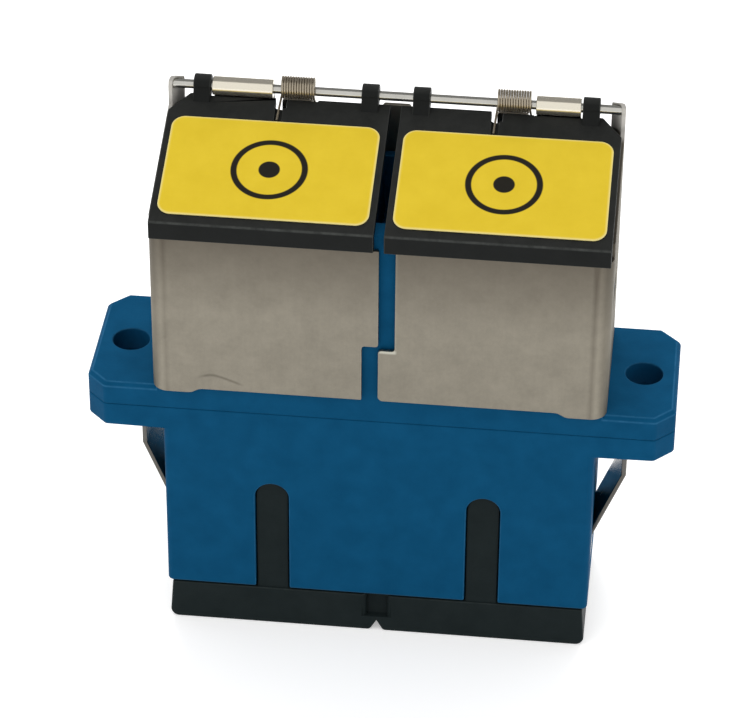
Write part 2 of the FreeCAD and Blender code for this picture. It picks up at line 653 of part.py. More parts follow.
def lid(label, hand, coil, roll, roll_length):
    """A moulded shutter: a sloping plate with a front lip, two hinge knuckles and room for its spring."""
    body = piece(label)
    plate = draw(body, "plate", "XY_Plane", "-hinge_rise")
    outline(plate,
            (f"{hand} * lid_inner", "-lid_reach"),
            (f"{hand} * lid_outer", "-lid_reach"),
            (f"{hand} * lid_outer", "-rear_gap - rear_chamfer_run"),
            (f"{hand} * (lid_outer - rear_chamfer)", "-rear_gap"),
            (f"{hand} * lid_inner", "-rear_gap"))
    pad(body, plate, "lid_sheet", reverse=True)

    # The lip hangs straight down at the front, so it leans forward in the lid's own frame.
    lip = draw(body, "lip", "YZ_Plane", between(hand, "lid_inner", "lid_outer"))
    foot_y = "-lid_reach - lip_height * sin(lid_slope)"
    foot_z = "-hinge_rise - lip_height * cos(lid_slope)"
    heel_y = f"{foot_y} + lip_sheet * cos(lid_slope)"
    heel_z = f"{foot_z} - lip_sheet * sin(lid_slope)"
    inside = f"{heel_y} + (-hinge_rise - lid_sheet - ({heel_z})) * tan(lid_slope)"
    outline(lip,
            ("-lid_reach", "-hinge_rise"),
            (foot_y, foot_z),
            (heel_y, heel_z),
            (inside, "-hinge_rise - lid_sheet"),
            (inside, "-hinge_rise"))
    pad(body, lip, "lid_outer - lid_inner")

    # Each knuckle is a ring on an arm that rises from the back edge of the plate.
    arm_foot = "-rear_gap - arm_length"
    for name, inner in (("outer", "knuckle_outer - knuckle_width"),
                        ("inner", "lid_inner + inner_knuckle_inset")):
        start = between(hand, inner, f"{inner} + knuckle_width")
        ring = draw(body, f"{name}_knuckle", "YZ_Plane", start)
        circle(ring, "0", "0", "knuckle_radius")
        pad(body, ring, "knuckle_width")
        arm = draw(body, f"{name}_arm", "YZ_Plane", start)
        outline(arm,
                (arm_foot, "-hinge_rise - lid_sheet"),
                ("-knuckle_radius * sin(arm_under)", "-knuckle_radius * cos(arm_under)"),
                ("0", "0"),
                ("-knuckle_radius * cos(arm_over)", "knuckle_radius * sin(arm_over)"),
                (arm_foot, "-hinge_rise"))
        pad(body, arm, "knuckle_width")
    pin_hole = draw(body, "pin_hole", "YZ_Plane")
    circle(pin_hole, "0", "0", "pin_diameter / 2 + pin_clearance")
    pocket(body, pin_hole, "2 * (frame_x + spare)", midplane=True)

    # The back edge is hollowed along the rolled tab, set back behind the coil, and notched and grooved for
    # the spring's leg.
    roll_way = draw(body, "roll_way", "YZ_Plane", f"{roll} - knuckle_gap")
    circle(roll_way, "0", "0", "roll_radius + roll_room")
    pocket(body, roll_way, f"{roll_length} + 2 * knuckle_gap", reverse=True)
    room = draw(body, "coil_room", "XY_Plane", "0")
    rectangle(room, f"{coil} - recess_gap", f"{coil} + coil_length + coil_wire + recess_gap",
              "-coil_room", "0")
    pocket(body, room, "hinge_rise + lid_sheet + spare")
    notch = draw(body, "notch", "XY_Plane", "0")
    rectangle(notch, f"{coil} + coil_wire / 2 - notch_width / 2",
              f"{coil} + coil_wire / 2 + notch_width / 2",
              "-rear_gap - notch_length", "0")
    pocket(body, notch, "hinge_rise + lid_sheet + spare")
    leg_way = draw(body, "leg_groove", "XY_Plane", "0")
    rectangle(leg_way, f"{coil} + coil_wire / 2 - groove_width / 2 - leg_drift",
              f"{coil} + coil_wire / 2 + groove_width / 2",
              "-lid_leg - groove_end", "-rear_gap")
    pocket(body, leg_way, "hinge_rise + leg_depth")
    lean(body)
    return body


def label_sticker(label, hand):
    """A thin sticker with rounded corners on top of a lid."""
    body = piece(label)
    plan = draw(body, "plan", "XY_Plane", "-hinge_rise")
    rectangle(plan, between(hand, "lid_inner + label_side", "lid_outer - label_side"),
              between(hand, "lid_outer - label_side", "lid_inner + label_side"),
              "-lid_reach + label_front", "-lid_reach + label_front + label_length")
    film = pad(body, plan, "label_sheet")
    dress(body, "Fillet", film, "label_round", lambda middle, span: span.z > NO_SPAN > span.x)
    lean(body)
    return body


# A spring's turns are made of straight steps of this many degrees, and its wire has this many sides.
COIL_STEP = 36
WIRE_SIDES = 6


def spring(label, coil):
    """A torsion spring: a close coil round the pin, with a leg on the lid and one over the back plate."""
    wire_radius, mean, pitch = number("coil_wire / 2"), number("coil_mean"), number("coil_pitch")
    rise = pitch / (2 * math.pi * mean)
    first_angle = 270 + number("lid_slope")
    last_angle = 270 - number("frame_leg_angle") + 360 * number("coil_turns")
    steps = round((last_angle - first_angle) / COIL_STEP)

    def wire_section(angle, beyond):
        """The wire's section at a turn of the coil, or beyond it on the straight leg there."""
        turned = math.radians(angle)
        outward = Vector(0, math.cos(turned), math.sin(turned))
        heading = Vector(rise, -math.sin(turned), math.cos(turned)).normalize()
        sideways = heading.cross(outward)
        centre = outward * mean + heading * beyond + Vector(pitch * (angle - first_angle) / 360, 0, 0)
        corners = []
        for corner in range(WIRE_SIDES + 1):
            spoke = 2 * math.pi * corner / WIRE_SIDES
            corners.append(centre + (outward * math.cos(spoke) + sideways * math.sin(spoke)) * wire_radius)
        return Part.makePolygon(corners)

    sections = [wire_section(first_angle, -number("lid_leg"))]
    for step in range(steps + 1):
        sections.append(wire_section(first_angle + (last_angle - first_angle) * step / steps, 0))
    sections.append(wire_section(last_angle, number("frame_leg")))
    feature = doc.addObject("Part::Feature", label)
    feature.Label = label
    feature.Shape = Part.makeLoft(sections, True, True)
    feature.setExpression("Placement.Base.x", formula(f"{coil} + coil_wire / 2"))
    feature.setExpression("Placement.Base.y", formula("pin_y"))
    feature.setExpression("Placement.Base.z", formula("flange_half + pin_z + coil_lift"))
    return feature


hinged_pieces = []
for side, hand in (("left", -1), ("right", 1)):
    coil, roll = f"{side}_coil", f"{side}_roll"
    hinged_pieces.append(lid(f"{side}_lid", hand, coil, ROLLS[roll], roll))
    hinged_pieces.append(label_sticker(f"{side}_label", hand))
    hinged_pieces.append(spring(f"{side}_spring", coil))

# Panel clip: a band of spring steel round the back and ends, with a wing standing out under each ear.
panel_clip = piece("panel_clip")
band = draw(panel_clip, "band", "XY_Plane", "clip_start")
outline(band,
        ("-clip_x - clip_sheet", "-clip_breadth / 2"),
        ("-clip_x", "-clip_breadth / 2"),
        ("-clip_x", "clip_y"),
        ("clip_x", "clip_y"),
        ("clip_x", "-clip_breadth / 2"),
        ("clip_x + clip_sheet", "-clip_breadth / 2"),
        ("clip_x + clip_sheet", "clip_y + clip_sheet"),
        ("-clip_x - clip_sheet", "clip_y + clip_sheet"))
band_pad = pad(panel_clip, band, "clip_band")
band_end, band_back = number("clip_x + clip_sheet"), number("clip_y + clip_sheet")
dress(panel_clip, "Fillet", band_pad, "clip_sheet", lambda middle, span: near(
    abs(middle.x), band_end) and near(middle.y, band_back) and span.z > WALL_SPAN)
wings = draw(panel_clip, "wings", "XZ_Plane", "-wing_shift")
wing_out = "body_width / 2 + wing_reach"
for hand in (-1, 1):
    outline(wings,
            (f"{hand} * clip_x", "clip_start + clip_sheet"),
            (f"{hand} * (clip_x + clip_sheet)", "clip_start + clip_sheet"),
            (f"{hand} * (clip_x + clip_sheet)", "clip_start"),
            (f"{hand} * ({wing_out})", "wing_knee"),
            (f"{hand} * ({wing_out})", "wing_top"),
            (f"{hand} * ({wing_out} - clip_sheet)", "wing_top"),
            (f"{hand} * ({wing_out} - clip_sheet)", "wing_knee"),
            (f"{hand} * clip_x", "clip_start"))
pad(panel_clip, wings, "wing_breadth", midplane=True)
stand(panel_clip, upper=False)

# Dust cap: two hollow plugs with key ribs, on two heads that taper towards the housing and are joined by a
# web, with a slot in each face and a nick below. A low neck inside the heads' outline rests on the housing.
dust_cap = piece("dust_cap")
heads = draw(dust_cap, "heads", "XZ_Plane")
outline(heads,
        ("-cap_x + cap_taper", "half_length + cap_relief"),
        ("cap_x - cap_taper", "half_length + cap_relief"),
        ("cap_x", "cap_end"),
        ("cap_nick_width / 2", "cap_end"),
        ("0", "cap_end - cap_nick"),
        ("-cap_nick_width / 2", "cap_end"),
        ("-cap_x", "cap_end"))
head_pad = pad(dust_cap, heads, "2 * cap_y", midplane=True)
cap_side, cap_foot = number("cap_x"), number("cap_end")
foot_round = dress(dust_cap, "Fillet", head_pad, "cap_round", lambda middle, span: near(
    abs(middle.x), cap_side) and near(middle.z, cap_foot) and span.y > WALL_SPAN)
nick_edge = number("cap_nick_width / 2")
dress(dust_cap, "Fillet", foot_round, "cap_nick_round", lambda middle, span: near(
    abs(middle.x), nick_edge) and near(middle.z, cap_foot) and span.y > WALL_SPAN)
neck = draw(dust_cap, "neck", "XY_Plane", "half_length")
block(neck, "0", "2 * (cap_x - cap_taper - cap_neck)", "2 * (cap_y - cap_neck)")
pad(dust_cap, neck, "cap_relief + cap_round")
for face, lift, turned in (("front", "cap_y", False), ("back", "-cap_y", True)):
    slot = draw(dust_cap, f"{face}_slot", "XZ_Plane", lift)
    rectangle(slot, "-cap_split / 2", "cap_split / 2", "half_length - spare", "cap_end - cap_web")
    slot_cut = pocket(dust_cap, slot, "cap_split_depth", reverse=turned)
split_edge, cap_face = number("cap_split / 2"), number("cap_y")
dress(dust_cap, "Fillet", slot_cut, "cap_split_round", lambda middle, span: near(
    abs(middle.x), split_edge) and near(abs(middle.y), cap_face) and span.z > WALL_SPAN)
plugs = draw(dust_cap, "plugs", "XY_Plane", "plug_start")
hollows = draw(dust_cap, "hollows", "XY_Plane", "plug_start")
ribs = draw(dust_cap, "ribs", "XZ_Plane", "body_breadth / 2 - key_sink")
for hand in (-1, 1):
    block(plugs, f"{hand} * port_pitch / 2", "plug_width", "plug_breadth")
    block(hollows, f"{hand} * port_pitch / 2", "plug_width - 2 * plug_wall", "plug_breadth - 2 * plug_wall")
    arch(ribs, f"{hand} * port_pitch / 2", "keyway_width - 2 * key_gap", "half_length + cap_round",
         "keyway_crown + key_gap")
pad(dust_cap, plugs, "half_length - plug_start + cap_round")
pad(dust_cap, ribs, "face_wall + plug_gap - key_sink + plug_wall / 2", reverse=True)
pocket(dust_cap, hollows, "half_length - plug_start", reverse=True)
stand(dust_cap, upper=False)

doc.recompute()

pieces = [upper_housing, lower_housing, *inside_pieces, shutter_frame, hinge_pin, *hinged_pieces,
          panel_clip, dust_cap]
for item in doc.Objects:
    if "Invalid" in item.State or "Error" in item.State:
        raise RuntimeError(f"{item.Name} failed: {item.State}")
for item in pieces:
    if item.Shape.isNull() or not item.Shape.isValid() or len(item.Shape.Solids) != 1:
        raise RuntimeError(f"{item.Label} is not one sound solid")

os.makedirs("parts", exist_ok=True)
for item in pieces:
    item.Shape.exportStep(f"parts/{item.Label}.step")
    box = item.Shape.BoundBox
    print(f"{item.Label}: {item.Shape.Volume:.2f} mm3, x {box.XMin:.2f} to {box.XMax:.2f},"
          f" y {box.YMin:.2f} to {box.YMax:.2f}, z {box.ZMin:.2f} to {box.ZMax:.2f}")
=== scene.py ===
import json
import math

import bmesh
import bpy
from mathutils import Matrix, Vector
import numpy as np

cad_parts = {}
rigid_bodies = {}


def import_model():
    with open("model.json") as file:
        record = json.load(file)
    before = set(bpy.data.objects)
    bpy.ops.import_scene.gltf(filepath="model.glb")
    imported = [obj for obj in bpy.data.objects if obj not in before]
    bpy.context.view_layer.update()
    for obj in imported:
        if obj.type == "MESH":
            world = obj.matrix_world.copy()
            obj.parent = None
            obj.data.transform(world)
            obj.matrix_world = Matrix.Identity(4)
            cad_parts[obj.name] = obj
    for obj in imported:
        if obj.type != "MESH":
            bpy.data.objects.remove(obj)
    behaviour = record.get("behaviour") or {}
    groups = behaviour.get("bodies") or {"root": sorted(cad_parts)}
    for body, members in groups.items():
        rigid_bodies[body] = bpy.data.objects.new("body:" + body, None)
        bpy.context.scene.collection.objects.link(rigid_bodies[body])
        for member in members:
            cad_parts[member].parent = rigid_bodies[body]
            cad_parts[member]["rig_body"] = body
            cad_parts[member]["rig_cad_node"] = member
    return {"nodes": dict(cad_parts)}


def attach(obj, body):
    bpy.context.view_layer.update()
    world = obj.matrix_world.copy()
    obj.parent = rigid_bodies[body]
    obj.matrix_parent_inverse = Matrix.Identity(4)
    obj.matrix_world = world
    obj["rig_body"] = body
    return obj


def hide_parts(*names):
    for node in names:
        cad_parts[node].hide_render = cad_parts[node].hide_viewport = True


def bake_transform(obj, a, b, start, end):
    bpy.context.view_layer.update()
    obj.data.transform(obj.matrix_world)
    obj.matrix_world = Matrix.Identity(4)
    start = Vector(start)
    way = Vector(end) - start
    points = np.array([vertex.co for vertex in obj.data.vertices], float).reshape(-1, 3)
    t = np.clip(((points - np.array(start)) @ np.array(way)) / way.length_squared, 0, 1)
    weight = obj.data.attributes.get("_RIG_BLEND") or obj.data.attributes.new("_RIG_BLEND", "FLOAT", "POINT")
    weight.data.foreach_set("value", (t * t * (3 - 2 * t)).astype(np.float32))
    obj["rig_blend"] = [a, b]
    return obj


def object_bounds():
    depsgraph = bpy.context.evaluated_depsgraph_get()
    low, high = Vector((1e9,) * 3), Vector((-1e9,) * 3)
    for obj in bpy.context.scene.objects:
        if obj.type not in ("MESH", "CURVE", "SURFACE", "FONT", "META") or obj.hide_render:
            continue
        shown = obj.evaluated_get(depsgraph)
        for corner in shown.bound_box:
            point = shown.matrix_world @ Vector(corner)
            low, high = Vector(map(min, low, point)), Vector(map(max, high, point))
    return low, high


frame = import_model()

cad_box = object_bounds()

# Split alignment sleeves, one in the middle of each port. They are ground from white zirconia,
# slit along one side, and sit loosely in the inserts' tubes so that they can grip both ferrules.

PER_METRE = 1000
SIDES = ("left", "right")
MEETING_POINTS = 0.0005
FLAT_TURN, SHARP_TURN, SMOOTH_TURN = math.radians(0.5), math.radians(30), math.radians(35)
SLEEVE_ROUND = 0.05


def only(piece):
    """Make one object the only one selected, and the active one."""
    bpy.ops.object.select_all(action="DESELECT")
    piece.select_set(True)
    bpy.context.view_layer.objects.active = piece


def merge_flats(piece):
    """Join points that meet, and faces that lie in one plane."""
    only(piece)
    bpy.ops.object.mode_set(mode="EDIT")
    bpy.ops.mesh.select_all(action="SELECT")
    bpy.ops.mesh.remove_doubles(threshold=MEETING_POINTS)
    bpy.ops.mesh.dissolve_limited(angle_limit=FLAT_TURN)
    bpy.ops.object.mode_set(mode="OBJECT")


def copy_of(node, name):
    """A joined copy of a node's mesh to work on, enlarged so that one unit is a millimetre."""
    only(frame["nodes"][node])
    bpy.ops.object.duplicate()
    piece = bpy.context.active_object
    piece.name = name
    bpy.ops.object.parent_clear(type="CLEAR_KEEP_TRANSFORM")
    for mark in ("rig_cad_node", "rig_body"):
        del piece[mark]
    piece.scale = (PER_METRE,) * 3
    bpy.ops.object.transform_apply(location=False, rotation=False, scale=True)
    merge_flats(piece)
    return piece


def round_edges(piece, width, segments=2, where=None, highlight_wear=1.0):
    """Round over the sharp outer edges, and mark the middle of each rounding to be painted paler, a painted
    highlight with wear.
    """
    while len(piece.data.materials) < 2:
        piece.data.materials.append(None)
    only(piece)
    bpy.ops.object.mode_set(mode="EDIT")
    bpy.ops.mesh.select_mode(type="EDGE")
    bpy.ops.mesh.select_all(action="DESELECT")
    mesh = bmesh.from_edit_mesh(piece.data)
    for edge in mesh.edges:
        sharp = edge.calc_face_angle_signed(0) > SHARP_TURN
        middle = (edge.verts[0].co + edge.verts[1].co) / 2
        edge.select_set(sharp and (where is None or where(middle)))
    bmesh.update_edit_mesh(piece.data)

    # The new faces take the second material for a moment, which tells them from the rest.
    bpy.ops.mesh.bevel(offset=width, segments=segments, affect="EDGES", clamp_overlap=False,
                       material=1)
    mesh = bmesh.from_edit_mesh(piece.data)
    marks = mesh.verts.layers.float
    worn = marks.get("edge_highlight_wear") or marks.new("edge_highlight_wear")
    for vert in mesh.verts:
        if all(face.material_index == 1 for face in vert.link_faces):
            vert[worn] = highlight_wear
    for face in mesh.faces:
        face.material_index = 0
    bmesh.update_edit_mesh(piece.data)
    bpy.ops.object.mode_set(mode="OBJECT")


def put_in_place(piece, material, node, body):
    """Smooth a piece, bring it back to metres, and let it stand for its node on its body."""
    only(piece)
    bpy.ops.object.shade_smooth_by_angle(angle=SMOOTH_TURN)
    piece.modifiers.new("even_shading", "WEIGHTED_NORMAL").keep_sharp = True
    bpy.ops.object.modifier_apply(modifier="even_shading")
    piece.scale = (1 / PER_METRE,) * 3
    bpy.ops.object.transform_apply(location=False, rotation=False, scale=True)
    piece.data.materials.clear()
    piece.data.materials.append(material)
    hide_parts(node)
    if body:
        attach(piece, body)


def add(tree, kind, inputs=None, **settings):
    """A new node with its settings, each input set to a value or fed by another node's output."""
    made = tree.nodes.new(kind)
    for name, value in settings.items():
        setattr(made, name, value)
    for name, value in (inputs or {}).items():
        if isinstance(value, bpy.types.NodeSocket):
            tree.links.new(value, made.inputs[name])
        else:
            made.inputs[name].default_value = value
    return made


def reckon(tree, operation, *values):
    """The result of one sum on numbers or on other nodes' outputs."""
    return add(tree, "ShaderNodeMath", dict(enumerate(values)), operation=operation).outputs[0]


def both(tree, first, second):
    """How far two shares hold together."""
    return reckon(tree, "MULTIPLY", first, second)


def blend_colours(tree, share, first, second):
    """The colour that lies between two others. A Mix node's colour sockets follow its others."""
    made = add(tree, "ShaderNodeMix", {0: share, 6: first, 7: second}, data_type="RGBA")
    return made.outputs[2]


def stretch(tree, value, low, high, to_low=0.0, to_high=1.0):
    """A value taken from one range to another and kept inside it."""
    made = add(tree, "ShaderNodeMapRange", {"Value": value, "From Min": low, "From Max": high,
                                            "To Min": to_low, "To Max": to_high})
    return made.outputs["Result"]


def noise(tree, place, scale, detail=2.0, rough=0.5):
    """How strong a cloudy noise is at each place."""
    made = add(tree, "ShaderNodeTexNoise", {"Vector": place, "Scale": scale, "Detail": detail,
                                            "Roughness": rough})
    return made.outputs["Fac"]


COLOUR, NUMBER, DIRECTION = "NodeSocketColor", "NodeSocketFloat", "NodeSocketVector"
WHITE = (1, 1, 1, 1)


def new_look(name, inputs):
    """An empty node group that gives out a colour, a roughness and a normal, and its two ends."""
    group = bpy.data.node_groups.new(name, "ShaderNodeTree")
    for label, kind, value in inputs:
        made = group.interface.new_socket(label, in_out="INPUT", socket_type=kind)
        made.default_value = value
    for label, kind in (("Colour", COLOUR), ("Roughness", NUMBER), ("Normal", DIRECTION)):
        group.interface.new_socket(label, in_out="OUTPUT", socket_type=kind)
    return group, add(group, "NodeGroupInput").outputs, add(group, "NodeGroupOutput").inputs


# Each noise has a scale, a detail and a roughness, and a span that its strength is read over.
HIGHLIGHT_WEAR_NOISE, HIGHLIGHT_WEAR_SPAN, HIGHLIGHT_WEAR_LEAST = (1500.0, 3.0, 0.7), (0.3, 0.65), 0.35
SKIN_CLOUDS, SKIN_SPAN = (620.0, 4.0, 0.6), (0.32, 0.68)
FLECK_SPAN, FLECK_GLOSS, FLECK_HEIGHT = (0.3, 0.7), 0.07, 0.00002


def edge_share(tree, place):
    """How pale each place is painted, a painted edge highlight with wear: rounded edges only, and unevenly
    along them.
    """
    marked = add(tree, "ShaderNodeAttribute", attribute_name="edge_highlight_wear").outputs["Fac"]
    patchy = stretch(tree, noise(tree, place, *HIGHLIGHT_WEAR_NOISE), *HIGHLIGHT_WEAR_SPAN, HIGHLIGHT_WEAR_LEAST, 1.0)
    return both(tree, marked, patchy)


# The skin of moulded and ground pieces: two close shades that drift into each other,
# edges painted paler as a painted highlight with wear, and a fine grain in gloss and height.
skin, given, result = new_look("fine_skin", [
    ("Colour", COLOUR, WHITE), ("Drift", COLOUR, WHITE), ("Edge", COLOUR, WHITE),
    ("Roughness", NUMBER, 0.5), ("Grain", NUMBER, 9000.0), ("Depth", NUMBER, 0.2)])
place = add(skin, "ShaderNodeTexCoord").outputs["Object"]
clouds = stretch(skin, noise(skin, place, *SKIN_CLOUDS), *SKIN_SPAN)
fleck = noise(skin, place, given["Grain"])
uneven = stretch(skin, fleck, *FLECK_SPAN, -FLECK_GLOSS, FLECK_GLOSS)
drifting = blend_colours(skin, clouds, given["Colour"], given["Drift"])
edged = blend_colours(skin, edge_share(skin, place), drifting, given["Edge"])
relief = add(skin, "ShaderNodeBump", {"Strength": given["Depth"], "Distance": FLECK_HEIGHT,
                                      "Height": fleck})
skin.links.new(edged, result["Colour"])
skin.links.new(reckon(skin, "ADD", uneven, given["Roughness"]), result["Roughness"])
skin.links.new(relief.outputs["Normal"], result["Normal"])


def workings(material):
    """A material's nodes, and its shader."""
    material.use_nodes = True
    return material.node_tree, material.node_tree.nodes["Principled BSDF"]


def skinned(name, group, values, specular=0.5, metallic=0.0):
    """A material whose colour, gloss and relief come from a group, the rest set on its shader."""
    material = bpy.data.materials.new(name)
    tree, shader = workings(material)
    shader.inputs["Specular IOR Level"].default_value = specular
    shader.inputs["Metallic"].default_value = metallic
    look = add(tree, "ShaderNodeGroup", node_tree=group)
    for label, value in values.items():
        look.inputs[label].default_value = value
    tree.links.new(look.outputs["Colour"], shader.inputs["Base Color"])
    tree.links.new(look.outputs["Roughness"], shader.inputs["Roughness"])
    tree.links.new(look.outputs["Normal"], shader.inputs["Normal"])
    return material


zirconia = skinned("ground_zirconia", skin, {
    "Colour": (0.80, 0.79, 0.74, 1), "Drift": (0.84, 0.83, 0.79, 1), "Edge": (0.88, 0.88, 0.85, 1),
    "Roughness": 0.22, "Grain": 16000.0, "Depth": 0.05})
for side in SIDES:
    sleeve = copy_of(f"{side}_alignment_sleeve", f"{side}_split_sleeve")
    round_edges(sleeve, SLEEVE_ROUND)
    put_in_place(sleeve, zirconia, f"{side}_alignment_sleeve", "adapter")

# Latch inserts, one above and one below in each port. They are moulded in natural white plastic,
# with two barbed arms that hold a plug, and are trapped between the housing halves.

INSERT_ROUND = 0.06

natural_plastic = skinned("natural_white_plastic", skin, {
    "Colour": (0.66, 0.65, 0.58, 1), "Drift": (0.72, 0.71, 0.65, 1), "Edge": (0.78, 0.77, 0.72, 1),
    "Roughness": 0.46, "Grain": 9000.0, "Depth": 0.15}, specular=0.35)
for side in SIDES:
    for level in ("upper", "lower"):
        node = f"{side}_{level}_latch_insert"
        insert = copy_of(node, f"{side}_{level}_latch_moulding")
        round_edges(insert, INSERT_ROUND)
        put_in_place(insert, natural_plastic, node, "adapter")

# Housing halves, injection moulded in blue plastic and welded together through the flange.
# Their edges are slightly rounded, and the weld shows as a fine line round the flange.
# The wall between the upper ports is cored out, so the gap between the lids stays dark.

HOUSING_ROUND = 0.09
WELD_HEIGHT, AT_WELD, OFF_WELD = 1.5, 0.01, 0.2
CORE_LOW, CORE_HIGH = (-0.6, -3.15, 10.5), (0.6, 4.0, 15.0)
SCREW_PLACE, SCREW_WALL, HOLE_SHADE_FADE = 15.35 / PER_METRE, 1.13 / PER_METRE, 0.05 / PER_METRE
SCREW_HOLE_SHADE, HOLE_SHADE_SHARE = (0.001, 0.014, 0.044, 1), 0.32
MOUTH_EDGE, MOUTH_ROUND = -11.55 / PER_METRE, -11.38 / PER_METRE
MOUTH_EDGE_HIGHLIGHT = (0.034, 0.098, 0.155, 1)

blue_plastic = skinned("moulded_blue_plastic", skin, {
    "Colour": (0.0026, 0.065, 0.151, 1), "Drift": (0.0040, 0.079, 0.180, 1),
    "Edge": (0.024, 0.130, 0.262, 1), "Roughness": 0.58, "Grain": 7000.0, "Depth": 0.25},
    specular=0.03)


def fed_by(socket):
    """What feeds a socket."""
    return socket.links[0].from_socket


def fade(tree, value, low, high, most=1.0):
    """A share that falls to nothing as a value goes through a range."""
    return stretch(tree, value, low, high, most, 0.0)


def parts_of(tree, vector):
    """A vector's parts, by axis."""
    return add(tree, "ShaderNodeSeparateXYZ", {"Vector": vector}).outputs


def length_of(tree, vector):
    """How long a vector is."""
    return add(tree, "ShaderNodeVectorMath", {0: vector}, operation="LENGTH").outputs["Value"]


# The walls of the screw holes are painted darker than the rest, a painted shade in the recesses,
# and the lower mouths' rims get a painted highlight along their rounded edge.
tree, shader = workings(blue_plastic)
along = parts_of(tree, add(tree, "ShaderNodeTexCoord").outputs["Object"])
across = reckon(tree, "ABSOLUTE", along["X"])
off_axis = add(tree, "ShaderNodeCombineXYZ", {
    "X": reckon(tree, "SUBTRACT", across, SCREW_PLACE), "Y": along["Y"]}).outputs[0]
hole_shade = fade(tree, length_of(tree, off_axis), SCREW_WALL, SCREW_WALL + HOLE_SHADE_FADE, HOLE_SHADE_SHARE)
painted_light = fade(tree, along["Z"], MOUTH_EDGE, MOUTH_ROUND)
shaded = blend_colours(tree, hole_shade, fed_by(shader.inputs["Base Color"]), SCREW_HOLE_SHADE)
tree.links.new(blend_colours(tree, painted_light, shaded, MOUTH_EDGE_HIGHLIGHT), shader.inputs["Base Color"])


def block(low, high):
    """A plain block between two corners."""
    bpy.ops.object.select_all(action="DESELECT")
    bpy.ops.mesh.primitive_cube_add(size=1, location=(Vector(low) + Vector(high)) / 2)
    made = bpy.context.active_object
    made.scale = Vector(high) - Vector(low)
    bpy.ops.object.transform_apply()
    return made


def combine(piece, other, operation):
    """Join a block to a piece or cut it out, and take the block away."""
    only(piece)
    change = piece.modifiers.new("combine", "BOOLEAN")
    change.operation, change.object = operation, other
    bpy.ops.object.modifier_apply(modifier="combine")
    only(other)
    bpy.ops.object.delete()


for node in ("upper_housing", "lower_housing"):
    half = copy_of(node, f"{node}_moulding")
    if node == "upper_housing":
        combine(half, block(CORE_LOW, CORE_HIGH), "DIFFERENCE")
        merge_flats(half)
    round_edges(half, HOUSING_ROUND, highlight_wear=0.0,
                where=lambda middle: abs(middle.z - WELD_HEIGHT) < AT_WELD)
    round_edges(half, HOUSING_ROUND, where=lambda middle: abs(middle.z - WELD_HEIGHT) > OFF_WELD)
    put_in_place(half, blue_plastic, node, "adapter")

# Panel clip, a band of spring steel strip bent round the back and ends of the lower half.
# Each end is folded into a wing that springs out to hold the panel against the flange.

CLIP_ROUND = 0.05
STREAKS, STREAK_SPAN, STREAK_SHARE = (1.0, 3.0, 0.6), (0.25, 0.75), 0.12
STREAK_HEIGHT = 0.00001
STAINS, STAIN_SPAN = (640.0, 7.0, 0.82), (0.30, 0.70)
STAIN_SHINIER, STAIN_DULLER = -0.06, 0.08
WING_KNEE, KNEE_FADE = -3.6 / PER_METRE, 0.4 / PER_METRE
WING_PAINTED_REFLECTION, WING_REFLECTION_SHARE, WING_REFLECTION_METAL = (0.57, 0.54, 0.485, 1), 0.9, 0.3
CUT_EDGE, CUT_SHARE, CUT_FACING = (0.065, 0.062, 0.056, 1), 0.85, (-0.8, -0.5)

# The face of worked metal: stains and drawn streaks between two shades, and edges painted paler as a painted
# highlight with wear.
sheet, given, result = new_look("worked_metal", [
    ("Colour", COLOUR, WHITE), ("Dull", COLOUR, WHITE), ("Edge", COLOUR, WHITE),
    ("Roughness", NUMBER, 0.4), ("Grain", DIRECTION, (5000.0, 5000.0, 300.0)),
    ("Depth", NUMBER, 0.1)])
place = add(sheet, "ShaderNodeTexCoord").outputs["Object"]
drawn = add(sheet, "ShaderNodeMapping", {"Vector": place, "Scale": given["Grain"]})
streak = noise(sheet, drawn.outputs["Vector"], *STREAKS)
clouds = noise(sheet, place, *STAINS)
streaked = stretch(sheet, streak, *STREAK_SPAN, -STREAK_SHARE, STREAK_SHARE)
worn = reckon(sheet, "ADD", streaked, stretch(sheet, clouds, *STAIN_SPAN))
darkened = blend_colours(sheet, worn, given["Colour"], given["Dull"])
edged = blend_colours(sheet, edge_share(sheet, place), darkened, given["Edge"])
uneven = stretch(sheet, clouds, *STAIN_SPAN, STAIN_SHINIER, STAIN_DULLER)
relief = add(sheet, "ShaderNodeBump", {"Strength": given["Depth"], "Distance": STREAK_HEIGHT,
                                       "Height": streak})
sheet.links.new(edged, result["Colour"])
sheet.links.new(reckon(sheet, "ADD", uneven, given["Roughness"]), result["Roughness"])
sheet.links.new(relief.outputs["Normal"], result["Normal"])

clip_strip = skinned("spring_steel_strip", sheet, {
    "Colour": (0.40, 0.375, 0.335, 1), "Dull": (0.32, 0.295, 0.26, 1),
    "Edge": (0.45, 0.42, 0.37, 1), "Roughness": 0.20, "Grain": (400.0, 6000.0, 6000.0),
    "Depth": 0.1}, metallic=1.0)

# The upright part of each wing is painted pale and made less metallic, a painted reflection of the bright
# surroundings, and the sheared edges are darker.
tree, shader = workings(clip_strip)
spot = add(tree, "ShaderNodeTexCoord").outputs
depth = parts_of(tree, spot["Object"])["Z"]
upright = stretch(tree, depth, WING_KNEE, WING_KNEE + KNEE_FADE, 0.0, WING_REFLECTION_SHARE)
cut = fade(tree, parts_of(tree, spot["Normal"])["Y"], *CUT_FACING, CUT_SHARE)
painted_light = blend_colours(tree, upright, fed_by(shader.inputs["Base Color"]), WING_PAINTED_REFLECTION)
tree.links.new(blend_colours(tree, cut, painted_light, CUT_EDGE), shader.inputs["Base Color"])
tree.links.new(stretch(tree, upright, 0.0, 1.0, 1.0, WING_REFLECTION_METAL), shader.inputs["Metallic"])
clip = copy_of("panel_clip", "panel_clip_strip")
round_edges(clip, CLIP_ROUND)
put_in_place(clip, clip_strip, "panel_clip", "adapter")

# Shutter frame, stamped from one thin stainless sheet and wrapped round the upper half.
# Its ends meet in a stepped seam at the front, tabs at the back are rolled round the hinge pin,
# and short tabs stand up on the back plate, between the lids and behind each coil.

